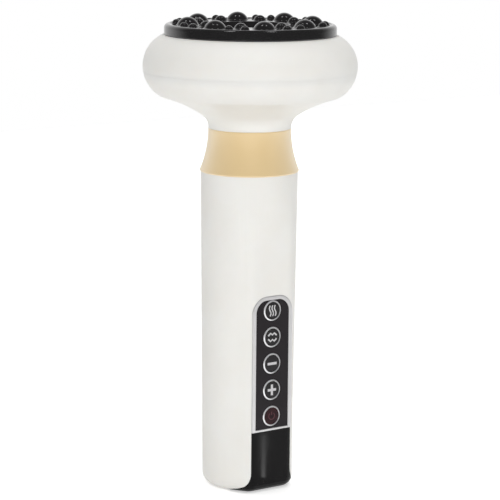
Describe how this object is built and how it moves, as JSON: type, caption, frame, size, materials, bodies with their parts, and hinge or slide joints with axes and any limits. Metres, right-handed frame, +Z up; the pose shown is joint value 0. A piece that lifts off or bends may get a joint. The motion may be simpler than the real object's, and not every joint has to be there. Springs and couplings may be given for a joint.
{
  "type": "electric massager",
  "caption": "Upright cordless massager with a broad head, a nodule disc, a waisted metal collar and a round handle with a key panel.",
  "frame": {"origin": "centre of the base on the handle's axis, in the plane the base stands on", "axes": "+Z up along the handle to the nodule disc, the key panel faces -Y, +X to the right of someone facing the panel"},
  "size_m": [0.0908, 0.0908, 0.2023],
  "materials": {
    "shell_white": "satin ivory-white moulding",
    "collar_gold": "satin champagne-gold anodised",
    "trim_silver": "satin silver plating",
    "panel_black": "gloss black",
    "chin_black": "gloss black",
    "key_black": "gloss black with pale printed signs",
    "key_red": "dark smoky red, lit from behind",
    "ring_chrome": "bright plating",
    "disc_black": "polished black",
    "steel": "bright zinc",
    "inner_plastic": "dark grey moulding",
    "board_green": "green solder mask",
    "switch_plastic": "black",
    "lamp_lens": "red lens",
    "cell_wrap": "blue shrink sleeve",
    "nickel": "nickel plating",
    "heater_alu": "bare sheet",
    "heater_amber": "amber film",
    "motor_rubber": "soft black",
    "motor_steel": "drawn can",
    "magnet_grey": "sintered",
    "brass": "turned",
    "copper": "drawn copper"
  },
  "bodies": {
    "housing": {"handle_shell": "shell_white", "base_cover": "chin_black", "panel_trim": "trim_silver", "control_panel": "panel_black", "button_rings": "ring_chrome", "tact_switches": "switch_plastic", "control_board": "board_green", "driver_chip": "switch_plastic", "power_lamp": "lamp_lens", "board_screws": "steel", "carrier_frame": "inner_plastic", "base_screws": "steel", "battery_cell": "cell_wrap", "battery_contacts": "nickel", "charge_socket": "nickel", "socket_tongue": "switch_plastic", "charge_board": "board_green", "neck_collar": "collar_gold", "neck_nut": "inner_plastic", "head_lower_shell": "shell_white", "head_upper_shell": "shell_white", "head_screws": "steel", "massage_disc": "disc_black", "disc_screws": "steel", "heater_plate": "heater_alu", "heater_film": "heater_amber", "thermostat": "switch_plastic", "motor_can": "motor_steel", "motor_end_cap": "inner_plastic", "motor_top_bush": "brass", "motor_rear_bush": "brass", "motor_sleeve": "motor_rubber", "motor_magnets": "magnet_grey", "motor_plate": "inner_plastic", "plate_screws": "steel"},
    "rotor": {"motor_shaft": "steel", "motor_armature": "motor_steel", "commutator": "copper", "eccentric_weight": "brass"},
    "power_key": {"power_button": "key_red", "power_plunger": "switch_plastic"},
    "plus_key": {"plus_button": "key_black", "plus_plunger": "switch_plastic"},
    "minus_key": {"minus_button": "key_black", "minus_plunger": "switch_plastic"},
    "mode_key": {"mode_button": "key_black", "mode_plunger": "switch_plastic"},
    "heat_key": {"heat_button": "key_black", "heat_plunger": "switch_plastic"}
  },
  "joints": [
    {"name": "rotor_spin", "type": "hinge", "parent": "housing", "child": "rotor", "pos_m": [0, 0, 0.1585], "axis": [0, 0, 1], "continuous": true},
    {"name": "power_press", "type": "slide", "parent": "housing", "child": "power_key", "axis": [0, 1, 0], "range_m": [0, 0.0005], "stiffness_N_per_m": 2000, "springref_m": -0.0002},
    {"name": "plus_press", "type": "slide", "parent": "housing", "child": "plus_key", "axis": [0, 1, 0], "range_m": [0, 0.0005], "stiffness_N_per_m": 2000, "springref_m": -0.0002},
    {"name": "minus_press", "type": "slide", "parent": "housing", "child": "minus_key", "axis": [0, 1, 0], "range_m": [0, 0.0005], "stiffness_N_per_m": 2000, "springref_m": -0.0002},
    {"name": "mode_press", "type": "slide", "parent": "housing", "child": "mode_key", "axis": [0, 1, 0], "range_m": [0, 0.0005], "stiffness_N_per_m": 2000, "springref_m": -0.0002},
    {"name": "heat_press", "type": "slide", "parent": "housing", "child": "heat_key", "axis": [0, 1, 0], "range_m": [0, 0.0005], "stiffness_N_per_m": 2000, "springref_m": -0.0002}
  ]
}
